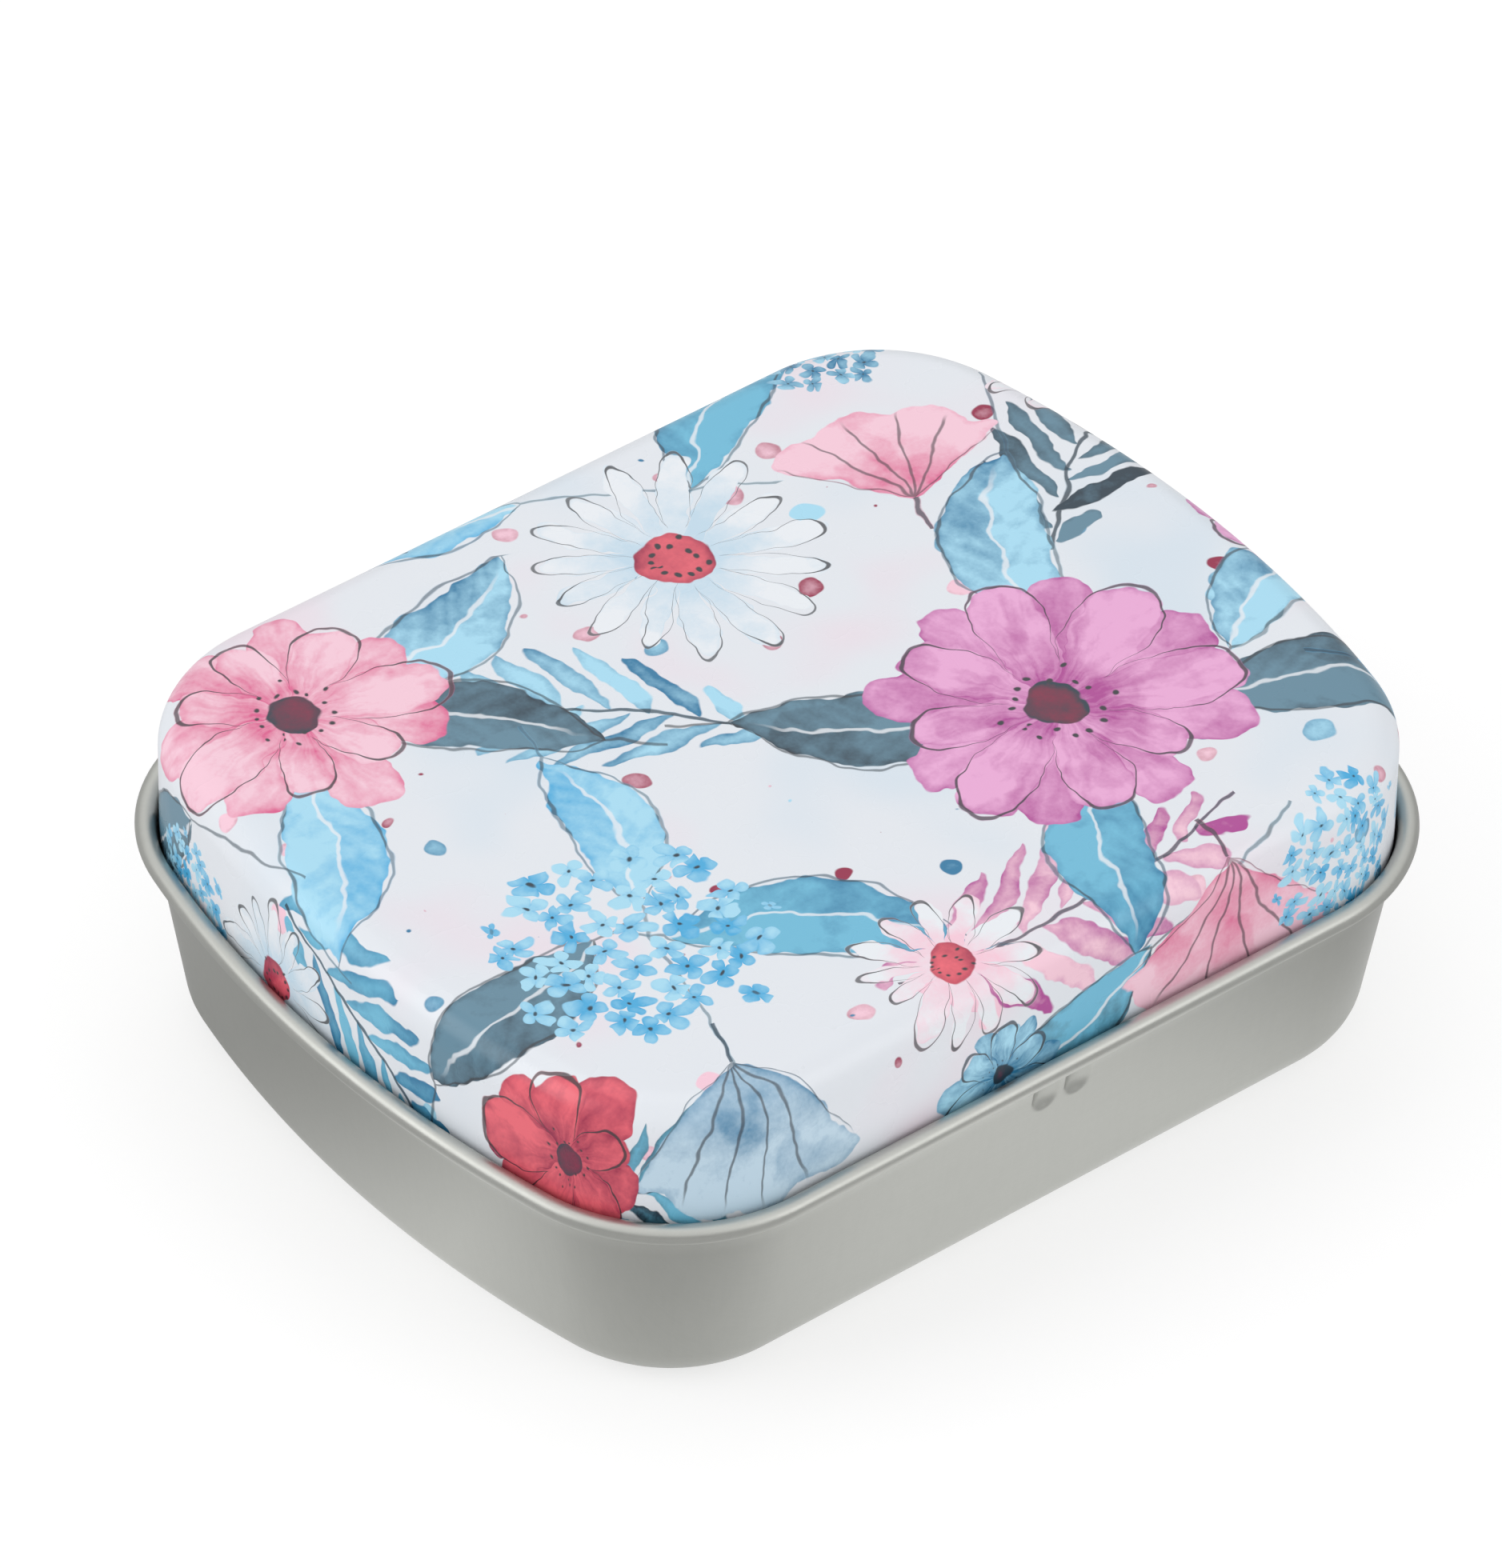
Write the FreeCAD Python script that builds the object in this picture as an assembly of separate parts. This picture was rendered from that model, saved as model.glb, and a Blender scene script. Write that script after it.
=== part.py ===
import FreeCAD
import Part
import math
import os

# Small hinged tin box, in millimetres. Origin at the middle of the underside, +Z up, +X towards
# a bowed end, -Y at the front, +Y at the hinge. Base and lid are drawn from thin sheet: each is a
# sheet profile swept round the plan of the box and closed by a flat plate. A profile is drawn in
# two coordinates: x outwards from the rim's outer edge, so negative inside, and z above the table.

Vector = FreeCAD.Vector
ORIGIN = Vector(0, 0, 0)
UP = Vector(0, 0, 1)
ALONG = Vector(0, 1, 0)
FRONT_DEG = -90
BACK_DEG = 90

# Plan of the rim's outer edge
rim_length = 88.0
rim_depth = 71.4
end_radius = 106.3
corner_radius = 15.7

# Heights
rim_height = 18.9
lid_rise = 9.8

# Sheet metal
sheet = 0.3

# Base pan
curl_radius = 0.8
curl_lip = 0.2
wall_draft_deg = 9.0
bottom_radius = 4.0
standing_ring_width = 1.5
panel_slope_width = 1.0
panel_rise = 0.6
panel_bend_radius = 0.5
floor_lap = 0.6

# Two dents in the front wall that stop the lid
dent_radius = 1.9
dent_depth = 0.55
dent_straight = 1.0
dent_spacing = 3.1
dent_seat_gap = 0.1

# Lid
fit_gap = 0.27
plug_depth = 1.7
lid_edge_radius = 3.0
hem_bend_radius = 0.3
hem_height = 1.4
lid_lap = 1.0

# Hinge at the back
knuckle_width = 8.0
knuckle_place_share = 0.58
knuckle_side_gap = 0.25
knuckle_lip = 0.2
notch_gap = 0.2
tab_bend_radius = 0.3
tab_relief = 0.4
running_gap = 0.05
pin_end_gap = 2.5

# Cuts run this far past what they cut, and a profile's runs shorter than no_run are left out
overrun = 1.0
no_run = 0.000001

# Sizes that follow from those above
half_sheet = sheet / 2
half_length = rim_length / 2
half_depth = rim_depth / 2
curl_middle_radius = curl_radius - half_sheet
axis_height = rim_height - curl_radius
lid_inset = 2 * curl_radius + fit_gap
skirt_height = rim_height - plug_depth
lid_height = rim_height + lid_rise
pin_radius = curl_radius - sheet - running_gap
draft = math.radians(wall_draft_deg)

# Plan of the rim: its end arcs, corner arcs and straight sides are tangent
end_centre_x = half_length - end_radius
corner_y = half_depth - corner_radius
corner_x = end_centre_x + math.sqrt((end_radius - corner_radius) ** 2 - corner_y ** 2)
end_half_deg = math.degrees(math.atan2(corner_y, corner_x - end_centre_x))
corner_sweep_deg = BACK_DEG - end_half_deg


# Sheet profiles

def direction(start, end):
    """Unit direction from one profile point to another."""
    length = math.hypot(end[0] - start[0], end[1] - start[1])
    return (end[0] - start[0]) / length, (end[1] - start[1]) / length


def shifted(corners, shift):
    """A bent line of (x, z, bend radius) corners, moved to its left by shift."""
    runs = [direction(start, end) for start, end in zip(corners, corners[1:])]
    moved = []
    for (x, z, bend), u, v in zip(corners, runs[:1] + runs, runs + runs[-1:]):
        scale = shift / (1 + u[0] * v[0] + u[1] * v[1])
        turn = u[0] * v[1] - u[1] * v[0]
        bend_change = math.copysign(shift, shift * turn) if bend else 0
        moved.append((x - scale * (u[1] + v[1]), z + scale * (u[0] + v[0]), bend - bend_change))
    return moved


def bent_line(corners):
    """Points of a bent line: its start, then one (end,) for each run and (middle, end) for each bend."""
    steps = [(Vector(corners[0][0], 0, corners[0][1]),)]
    for before, corner, after in zip(corners, corners[1:], corners[2:]):
        u = direction(corner, before)
        v = direction(corner, after)
        half_angle = math.acos(u[0] * v[0] + u[1] * v[1]) / 2
        reach = corner[2] / math.tan(half_angle)
        inward = direction((0, 0), (u[0] + v[0], u[1] + v[1]))
        depth = corner[2] / math.sin(half_angle) - corner[2]
        start = Vector(corner[0] + reach * u[0], 0, corner[1] + reach * u[1])
        middle = Vector(corner[0] + depth * inward[0], 0, corner[1] + depth * inward[1])
        end = Vector(corner[0] + reach * v[0], 0, corner[1] + reach * v[1])
        steps += [(start,), (middle, end)]
    return steps + [(Vector(corners[-1][0], 0, corners[-1][1]),)]


def line_edges(steps):
    """Edges along the points of a bent line, leaving out runs of no length."""
    edges = []
    here = steps[0][0]
    for step in steps[1:]:
        if len(step) == 2:
            edges.append(Part.Arc(here, step[0], step[1]).toShape())
        elif here.distanceToPoint(step[0]) > no_run:
            edges.append(Part.LineSegment(here, step[0]).toShape())
        here = step[-1]
    return edges


def sheet_face(corners):
    """Section of a sheet whose middle follows the corners, in the XZ plane."""
    left = line_edges(bent_line(shifted(corners, half_sheet)))
    right = line_edges(bent_line(shifted(corners, -half_sheet)))
    ends = [Part.LineSegment(a.Vertexes[i].Point, b.Vertexes[i].Point).toShape()
            for a, b, i in ((left[0], right[0], 0), (left[-1], right[-1], -1))]
    return Part.Face(Part.Wire(Part.__sortEdges__(left + right + ends)))


# Sweeping round the plan

def plan_arcs():
    """Centre, radius, start angle and sweep of each arc of the rim's outer edge."""
    arcs = []
    for side, turn_deg in ((1, 0), (-1, 2 * BACK_DEG)):
        end_centre = Vector(side * end_centre_x, 0, 0)
        arcs.append((end_centre, end_radius, turn_deg - end_half_deg, 2 * end_half_deg))
        for corner, start_deg in ((1, turn_deg + end_half_deg), (-1, turn_deg - BACK_DEG)):
            centre = Vector(side * corner_x, side * corner * corner_y, 0)
            arcs.append((centre, corner_radius, start_deg, corner_sweep_deg))
    return arcs


def on_side(shape, side_deg, along=0):
    """Put a shape drawn from the rim's outer edge on the front or back side, along it from its middle."""
    placed = shape.copy()
    placed.rotate(ORIGIN, UP, side_deg)
    side = math.copysign(1, side_deg)
    placed.translate(Vector(-side * along, side * half_depth, 0))
    return placed


def swept_ring(face):
    """A profile swept once round the rim's plan."""
    pieces = []
    for centre, radius, start_deg, sweep_deg in plan_arcs():
        section = face.copy()
        section.translate(Vector(radius, 0, 0))
        piece = section.revolve(ORIGIN, UP, sweep_deg)
        piece.rotate(ORIGIN, UP, start_deg)
        piece.translate(centre)
        pieces.append(piece)
    for side_deg in (FRONT_DEG, BACK_DEG):
        run = face.extrude(ALONG * (2 * corner_x))
        run.translate(ALONG * -corner_x)
        pieces.append(on_side(run, side_deg))
    return pieces[0].multiFuse(pieces[1:])


def flat_plate(inset, height):
    """Flat sheet inside the rim's plan, its lower face at height."""
    edges = []
    for centre, radius, start_deg, sweep_deg in plan_arcs():
        circle = Part.Circle(centre + UP * height, UP, radius - inset)
        angles = (math.radians(start_deg), math.radians(start_deg + sweep_deg))
        edges.append(Part.ArcOfCircle(circle, *angles).toShape())
    side_y = half_depth - inset
    for side in (1, -1):
        start = Vector(corner_x, side * side_y, height)
        end = Vector(-corner_x, side * side_y, height)
        edges.append(Part.LineSegment(start, end).toShape())
    outline = Part.Wire(Part.__sortEdges__(edges))
    return Part.Face(outline).extrude(UP * sheet)


def bar(x_from, x_to, width, z_from, z_to):
    """Box in a side's profile coordinates, centred along the side."""
    return Part.makeBox(x_to - x_from, width, z_to - z_from, Vector(x_from, -width / 2, z_from))


# Base pan

def wall_top():
    """Corner where the base wall meets the flat over its curl, so that the curl is one round."""
    reach = curl_middle_radius * math.tan((math.pi / 2 - draft) / 2)
    return -half_sheet - curl_middle_radius - reach, rim_height - half_sheet


def wall_x(height):
    """Middle of the base wall's sheet at a height."""
    top_x, top_z = wall_top()
    return top_x - (top_z - height) * math.tan(draft)


def base_profile():
    """Middle of the base's sheet, from the curl's free edge to the raised floor."""
    curl_foot = rim_height - 2 * curl_radius + half_sheet
    foot_x = wall_x(half_sheet)
    panel_x = foot_x - bottom_radius - standing_ring_width
    raised_x = panel_x - panel_slope_width
    return [
        (-curl_radius - curl_lip, curl_foot, 0),
        (-half_sheet, curl_foot, curl_middle_radius),
        (-half_sheet, rim_height - half_sheet, curl_middle_radius),
        (*wall_top(), curl_middle_radius),
        (foot_x, half_sheet, bottom_radius - half_sheet),
        (panel_x, half_sheet, panel_bend_radius),
        (raised_x, half_sheet + panel_rise, panel_bend_radius),
        (raised_x - floor_lap, half_sheet + panel_rise, 0),
    ]


def capsule(radius):
    """Upright round-ended bar as long as a dent."""
    body = Part.makeCylinder(radius, dent_straight, UP * (-dent_straight / 2))
    ends = [Part.makeSphere(radius, UP * (side * dent_straight / 2)) for side in (1, -1)]
    return body.multiFuse(ends)


def dent_tools():
    """Skin to add behind a dent and hollow to cut, on the front side at its middle."""
    axis_x = half_sheet + dent_radius - dent_depth
    skin_radius = dent_radius + sheet
    half_height = dent_straight / 2 + math.sqrt(skin_radius ** 2 - (axis_x + half_sheet) ** 2)
    height = skirt_height - dent_seat_gap - half_height
    skin = capsule(skin_radius)
    skin.translate(Vector(axis_x, 0, 0))
    inside = bar(-skin_radius, 0, 2 * skin_radius, -2 * skin_radius, 2 * skin_radius)
    skin = skin.common(inside)
    hollow = capsule(dent_radius)
    hollow.translate(Vector(axis_x, 0, 0))
    for tool in (skin, hollow):
        tool.rotate(ORIGIN, ALONG, wall_draft_deg)
        tool.translate(Vector(wall_x(height), 0, height))
    return skin, hollow


def knuckle_places():
    """Where the two knuckles stand along the back."""
    return [side * knuckle_place_share * corner_x for side in (1, -1)]


def make_base_pan():
    """Base with its curled rim, dents and hinge notches."""
    profile = base_profile()
    ring = swept_ring(sheet_face(profile))
    floor = flat_plate(-profile[-1][0], panel_rise)
    base = ring.fuse(floor)
    skin, hollow = dent_tools()
    dents = [side * dent_spacing / 2 for side in (1, -1)]
    base = base.multiFuse([on_side(skin, FRONT_DEG, along) for along in dents])
    notch = bar(-lid_inset, overrun, knuckle_width + 2 * knuckle_side_gap,
                axis_height - curl_radius - notch_gap, rim_height + overrun)
    cuts = [on_side(hollow, FRONT_DEG, along) for along in dents]
    cuts += [on_side(notch, BACK_DEG, along) for along in knuckle_places()]
    return base.cut(cuts).removeSplitter()


# Lid

def lid_profile():
    """Middle of the lid's sheet, from the hem's free edge to the flat top."""
    wall = -lid_inset - half_sheet
    hem = wall - 2 * hem_bend_radius
    top = lid_height - half_sheet
    return [
        (hem, skirt_height + hem_height, 0),
        (hem, skirt_height + half_sheet, hem_bend_radius),
        (wall, skirt_height + half_sheet, hem_bend_radius),
        (wall, top, lid_edge_radius - half_sheet),
        (wall - lid_edge_radius - lid_lap, top, 0),
    ]


def knuckle_profile():
    """Middle of a tab that leaves the lid's wall and curls round the pin."""
    wall = -lid_inset - half_sheet
    outer = -half_sheet
    inner = -half_sheet - 2 * curl_middle_radius
    foot = axis_height - curl_middle_radius
    crown = axis_height + curl_middle_radius
    return [
        (wall, axis_height, 0),
        (wall, foot, tab_bend_radius),
        (outer, foot, curl_middle_radius),
        (outer, crown, curl_middle_radius),
        (inner, crown, curl_middle_radius),
        (inner, axis_height - knuckle_lip, 0),
    ]


def make_lid():
    """Lid with its hem cut away at two tabs that end in knuckles."""
    profile = lid_profile()
    ring = swept_ring(sheet_face(profile))
    top = flat_plate(-profile[-1][0], lid_height - sheet)
    gap = bar(profile[0][0] - overrun, -curl_radius, knuckle_width + 2 * tab_relief,
              skirt_height - overrun, axis_height)
    hem_gap = bar(profile[0][0] - overrun, -lid_inset - sheet, knuckle_width + 2 * tab_relief,
                  skirt_height - overrun, skirt_height + hem_height + overrun)
    cuts = [on_side(tool, BACK_DEG, along) for tool in (gap, hem_gap) for along in knuckle_places()]
    tab = sheet_face(knuckle_profile()).extrude(ALONG * knuckle_width)
    tab.translate(ALONG * (-knuckle_width / 2))
    tabs = [on_side(tab, BACK_DEG, along) for along in knuckle_places()]
    return ring.fuse(top).cut(cuts).multiFuse(tabs).removeSplitter()


# Hinge pin

def make_hinge_pin():
    """Wire along the back run of the curl."""
    half = corner_x - pin_end_gap
    start = Vector(-half, half_depth - curl_radius, axis_height)
    return Part.makeCylinder(pin_radius, 2 * half, start, Vector(1, 0, 0))


nodes = {
    "base_pan": make_base_pan(),
    "lid": make_lid(),
    "hinge_pin": make_hinge_pin(),
}

os.makedirs("parts", exist_ok=True)
for name, shape in nodes.items():
    solid = shape.Solids[0]
    print(name, "solids", len(shape.Solids), "valid", shape.isValid(), "volume", round(solid.Volume, 2))
    solid.exportStep(os.path.join("parts", name + ".step"))
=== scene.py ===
import collections
import math

import bmesh
import bpy
from mathutils import Color, Matrix, Vector


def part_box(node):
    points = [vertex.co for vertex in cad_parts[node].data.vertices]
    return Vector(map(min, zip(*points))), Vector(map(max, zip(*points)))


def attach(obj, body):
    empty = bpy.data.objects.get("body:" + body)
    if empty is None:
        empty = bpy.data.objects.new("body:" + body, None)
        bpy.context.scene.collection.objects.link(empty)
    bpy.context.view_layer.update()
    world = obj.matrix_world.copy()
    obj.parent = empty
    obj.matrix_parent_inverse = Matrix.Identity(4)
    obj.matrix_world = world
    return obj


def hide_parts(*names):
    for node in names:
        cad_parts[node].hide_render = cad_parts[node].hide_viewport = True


# A small hinged tin box: plain tin base with a rolled rim, floral printed lid, wire hinge pin.
# Sizes are in millimetres, in the model's frame: +Z up, -Y at the front, +Y at the hinge.
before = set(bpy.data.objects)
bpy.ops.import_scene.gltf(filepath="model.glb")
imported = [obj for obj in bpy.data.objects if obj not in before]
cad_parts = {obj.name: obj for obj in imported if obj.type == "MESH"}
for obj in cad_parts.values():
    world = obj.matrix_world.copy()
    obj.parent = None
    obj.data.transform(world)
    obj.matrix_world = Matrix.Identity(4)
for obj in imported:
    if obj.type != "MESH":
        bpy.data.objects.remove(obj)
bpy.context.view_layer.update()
MM = 0.001
WHITE = (1, 1, 1, 1)

# Sizes read from the solids
base_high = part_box("base_pan")[1] / MM
lid_low, lid_high = (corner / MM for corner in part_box("lid"))
half_length = base_high.x
half_depth = base_high.y
rim_height = base_high.z
lid_height = lid_high.z
skirt_height = lid_low.z
lid_inset = half_length - lid_high.x

# Plan of the rim's outer edge
end_radius = 106.3
corner_radius = 15.7

# Sheet, rolled rim and base
sheet = 0.3
curl_radius = 0.8
curl_lip = 0.2
wall_draft = math.radians(9.0)
bottom_radius = 4.0
standing_ring_width = 1.5
panel_slope_width = 1.0
panel_rise = 0.6
panel_bend_radius = 0.5
floor_lap = 0.6

# Dents in the front wall
dent_radius = 1.9
dent_depth = 0.55
dent_half_straight = 0.5
dent_spacing = 3.1
dent_height = 15.15
dent_softness = 0.12
dent_reach = 4.2
dent_step = 0.14

# Lid
lid_edge_radius = 3.0
hem_bend_radius = 0.3
hem_height = 1.4
lid_lap = 1.0

# Hinge
knuckle_width = 8.0
knuckle_place_share = 0.58
knuckle_side_gap = 0.25
knuckle_lip = 0.2
notch_gap = 0.2
tab_bend_radius = 0.3
tab_relief = 0.4

# Mesh fineness. Rows nearer together than same_row are one, and edges sharper than crease_angle show
arc_step = math.radians(9.0)
fillet_step = math.radians(5.0)
corner_steps = 26
end_steps = 30
run_steps = 24
plate_rings = 8
same_row = 0.000001
crease_angle = math.radians(45.0)

# Sizes that follow from those above
half_sheet = sheet / 2
curl_middle_radius = curl_radius - half_sheet
axis_height = rim_height - curl_radius
notch_height = axis_height - curl_radius - notch_gap
end_centre_x = half_length - end_radius
corner_y = half_depth - corner_radius
corner_x = end_centre_x + math.sqrt((end_radius - corner_radius) ** 2 - corner_y ** 2)
end_half_angle = math.atan2(corner_y, corner_x - end_centre_x)
knuckle_x = knuckle_place_share * corner_x

# The lid's inside has no rim, so its tin has no crest within reach
lid_inside_crest = 2 * lid_height


def paint(red, green, blue):
    """A colour written as it looks on a screen, 0 to 255."""
    return (*Color((red / 255, green / 255, blue / 255)).from_srgb_to_scene_linear(), 1.0)


# Colours of the print
ground = paint(229, 233, 239)
pen_black = paint(52, 54, 60)
sky = paint(70, 172, 222)
sky_pale = paint(170, 222, 244)
teal = paint(44, 122, 164)
teal_pale = paint(112, 188, 218)
slate = paint(38, 58, 72)
slate_pale = paint(100, 138, 158)
orchid = paint(176, 70, 150)
orchid_pale = paint(236, 172, 216)
rose = paint(222, 92, 142)
rose_pale = paint(248, 204, 220)
crimson = paint(150, 30, 70)
coral = paint(238, 104, 118)
mist = paint(196, 220, 236)
mist_pale = paint(236, 240, 245)

# Pen lines and edges of washes. A tone is 0 for a wash's pale colour and 1 for its deep one
pen_width = 0.2
pen_softness = 0.14
pen_cover = 0.9
edge_softness = 0.16
edge_pool_width = 0.9
edge_pool_tone = 0.34

# Water and paper: a scale is a noise's number of swings in a mm
sway_detail = 2.0
wash_sway_scale = 0.3
wash_sway_reach = 2.4
pen_sway_scale = 0.22
pen_sway_reach = 2.2
blot_scale = 0.28
blot_detail = 4.0
blot_roughness = 0.6
blot_tone = 1.2
blot_least_tone = -0.75
bloom_scale = 0.13
bloom_detail = 3.0
bloom_edge = (0.5, 0.56)
bloom_tone = 0.13
grain_scale = 3.0
grain_tone = 0.3
cloud_scale = 0.045
blue_cloud = (0.5, 0.72)
blue_cloud_cover = 0.4
pink_cloud = (0.46, 0.3)
pink_cloud_cover = 0.35

# Motifs, in shares of their size. A motif's root and a cell's edge are half_share from the middle
half_share = 0.5

blossom_waist_share = 0.34
blossom_roundness = 2.6
blossom_back_turn = 0.5
blossom_back_spread_share = 0.14
blossom_front_spread_share = 0.3
blossom_back_tone = 0.26
blossom_front_tone = 0.0
streaks_across = 2.2
streaks_outwards = 1.6
streak_scale = 1.7
streak_petal_step = 5
streak_tone = 1.1
blossom_side_tone = 0.18
blossom_throat_shares = (0.15, 0.62)
blossom_throat_tone = 0.08
blossom_tip_tone = -0.44
heart_share = 0.17
heart_tone = 0.6
stamen_count = 17
stamen_ring_share = 0.25
stamen_dot_share = 0.022

daisy_waist_share = 0.3
daisy_roundness = 2.2
daisy_spread_share = 0.2
daisy_throat_shares = (0.25, 0.8)
daisy_throat_tone = 0.65
daisy_tip_tone = -0.15
daisy_petal_tone = 0.4
eye_share = 0.24
eye_tone = 0.4
seed_count = 13
seed_ring_share = 0.17
seed_dot_share = 0.028
ring_near_share = 0.7
ring_scatter_share = 0.5

leaf_width_share = 0.2
leaf_fullness = 0.85
vein_lean = 1.1
vein_gap_share = 0.055
vein_tone = 3.4
leaf_fold_share = 0.02
leaf_lit_tone = -0.24
leaf_shaded_tone = 0.14
leaf_tip_tone = 0.35
rib_core = 0.08
rib_edge = 0.26
rib_cover = 0.75
rib_end_shares = (0.75, 0.95)
leaf_pen_weight = 0.7
leaf_pen_cover = 0.8

sprig_lean = 1.1
sprig_gap_share = 0.115
sprig_root_share = 0.22
sprig_root_reach_share = 0.4
sprig_taper_shares = (0.3, 1.0)
sprig_reach_shares = (0.24, 0.07)
sprig_leaf_fullness = 0.7
sprig_leaf_width_share = 0.032
sprig_leafy_share = 0.46
sprig_stem_share = 0.48
sprig_leaf_tone = 0.9
sprig_least_tone = -0.3
sprig_tip_tone = 0.3
sprig_side_step = 100

fan_half_angle = 0.95
fan_radius_share = 0.9
fan_scallops = 5
fan_scallop_share = 0.07
fan_rounding_share = 0.06
fan_fade_shares = (0.2, 1.0)
fan_root_tone = 0.6
fan_rim_tone = -0.1
fan_ribs = 5
fan_rib_end_shares = (0.8, 0.95)
fan_rib_cover = 0.8
fan_rib_weight = 0.5
fan_stalk_share = 0.3

florets_in_size = 4.6
floret_looseness = 0.55
floret_turn = 3
floret_fullness = 0.7
floret_petal_share = 0.085
floret_body_share = 0.048
floret_tone = 0.9
floret_fade_shares = (0.02, 0.1)
floret_throat_tone = 0.2
floret_tip_tone = -0.4
floret_eye_share = 0.02
cluster_edge_shares = (0.8, 0.84)

drop_looseness = 0.8
drop_from_chance = 0.4
drop_radius_shares = (-0.05, 0.17)
drop_tone = 1.4
drop_least_tone = -0.35

# Random numbers: the far digits of a sine
random_pitch = 12.9898
random_gain = 43758.5453

# A noise's values lie round their middle, most of them in this band
noise_middle = 0.5
noise_band = (0.3, 0.7)

# Varnish over the print
smear_scale = 0.16
smear_detail = 3.0
varnish_roughness = (0.24, 0.36)
peel_scale = 1.1
ripple_scale = 0.05
ripple_detail = 1.0
ripple_height = 6
peel_bump = 0.4
peel_relief = 0.006

# Tinplate
tin_dark = paint(171, 172, 167)
tin_bright = paint(194, 195, 190)
rolled_scale = (0.12, 5.0, 1.0)
drawn_scale = (1.6, 1.6, 0.1)
line_detail = 3.0
line_roughness = 0.6
mark_share = 0.5
smudge_scale = 0.11
smudge_detail = 4.0
smudge_roughness = 0.55
speck_scale = 2.4
worn_depth = 0.6
# Painted light: below the crest, between these depths and its tone, the tin's colour turns lighter and
# lifts the rim's shade
painted_rim_light_depths = (4.0, 2.6)
mark_tone = 0.5
smudge_tone = 0.6
painted_rim_light_tone = 0.35
tin_least_tone = -0.1
tin_least_roughness = 0.17
smudge_dulling = 0.22
mark_dulling = 0.12
speck_dulling = 0.06
worn_dulling = 0.1
speck_height = 0.3
tin_bump = 0.25
tin_relief = 0.005

# Wire of the hinge pin
wire_dark = paint(150, 148, 144)
wire_bright = paint(188, 187, 184)
wire_line_scale = (0.15, 7.0, 7.0)
stain_scale = 0.35
stain_detail = 3.0
stain_share = 0.5
wire_roughness = (0.24, 0.42)
wire_bump = 0.4
wire_relief = 0.01

# Floor, and a pool of painted light: a glow on the floor round the box that only reflections see
floor_half_size = 3000.0
floor_colour = (0.46, 0.46, 0.46, 1)
floor_bounce = (0.8, 0.8, 0.8, 1)
floor_glow = 0.62
pool_centre = (1.5, -9.0)
pool_glow = 0.72
pool_inner = 38.0
pool_outer = 78.0
pool_edge_share = 0.22

# Room: its light from low and from high, and how white the tin sees it between two heights of view
horizon_ambient = 1.1
zenith_ambient = 0.6
dim_below = 0.15
bright_above = 0.6
horizon_gloss = 0.45

# Lamps: name, place, size and power in watts
lamps = (
    ("key", (-850, 450, 600), 750, 2.6),
    ("fill", (480, -900, 600), 700, 1.7),
    ("top", (100, 300, 1300), 900, 1.6),
)

# Camera, from the photograph's fitted view
photo_width = 1877
photo_height = 1960
view_azimuth = math.radians(-39.26)
view_elevation = math.radians(40.35)
view_roll = 0.018
view_distance = 1010.7
view_reach = 10000.0
pixels_per_mm = 16.348
origin_pixel = (967.3, 1248.5)
sensor = 36.0


# Plan columns: where the rim's outer edge is, and which way it faces

def steps(start, end, count):
    """Evenly spaced values from start up to, but not including, end."""
    return [start + (end - start) * i / count for i in range(count)]


def arc_columns(centre, radius, start, end, count):
    """Columns along one arc of the plan."""
    columns = []
    for angle in steps(start, end, count):
        normal = Vector((math.cos(angle), math.sin(angle)))
        columns.append((Vector(centre) + radius * normal, normal))
    return columns


def run_columns(stops, y, normal_y):
    """Columns along a straight side at the given x places."""
    return [(Vector((x, y)), Vector((0, normal_y))) for x in stops]


def plan_columns(front_stops, back_stops):
    """Columns once round the plan, counter-clockwise from the +X end."""
    quarter = math.pi / 2
    columns = []
    for side, turn, stops in ((1, 0.0, back_stops), (-1, math.pi, front_stops)):
        first, last = turn - end_half_angle, turn + end_half_angle
        near_corner = (side * corner_x, side * corner_y)
        far_corner = (-side * corner_x, side * corner_y)
        columns += arc_columns((side * end_centre_x, 0), end_radius, first, last, end_steps)
        columns += arc_columns(near_corner, corner_radius, last, turn + quarter, corner_steps)
        columns += run_columns([side * x for x in stops], side * half_depth, side)
        columns += arc_columns(far_corner, corner_radius, turn + quarter,
                               turn + math.pi - end_half_angle, corner_steps)
    return columns


def run_stops(breaks, reach=0.0, step=0.0):
    """Places along the back from +X to -X, or along the front the other way round: even ones, the
    breaks, and close ones within reach of the middle."""
    stops = set(steps(corner_x, -corner_x, run_steps)) | set(breaks)
    if reach:
        close = round(2 * reach / step)
        stops = {x for x in stops if abs(x) > reach} | set(steps(reach, -reach, close)) | {-reach}
    return sorted(stops, reverse=True)


# Sheet profiles: rows of (x outwards from the rim's edge, z, and the direction to the row's left)

def toward(start, end):
    """Unit direction from one point to another."""
    return (end - start).normalized()


def profile_rows(corners, step):
    """Rows along a bent line of (x, z, bend radius) corners."""
    rows = []
    points = [Vector(corner[:2]) for corner in corners]
    for i, point in enumerate(points):
        if i in (0, len(points) - 1):
            along = toward(points[max(i - 1, 0)], points[max(i, 1)])
            rows.append((point, Vector((-along.y, along.x))))
            continue
        u, v = toward(points[i - 1], point), toward(point, points[i + 1])
        turn = math.atan2(u.x * v.y - u.y * v.x, u.dot(v))
        bend = corners[i][2]
        left = Vector((-u.y, u.x))
        start = point - u * bend * math.tan(abs(turn) / 2)
        centre = start + left * math.copysign(bend, turn)
        count = max(2, math.ceil(abs(turn) / step))
        for angle in steps(0.0, turn, count) + [turn]:
            normal = Matrix.Rotation(angle, 2) @ left
            rows.append((centre - normal * math.copysign(bend, turn), normal))
    return [row for k, row in enumerate(rows) if k == 0 or (row[0] - rows[k - 1][0]).length > same_row]


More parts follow.
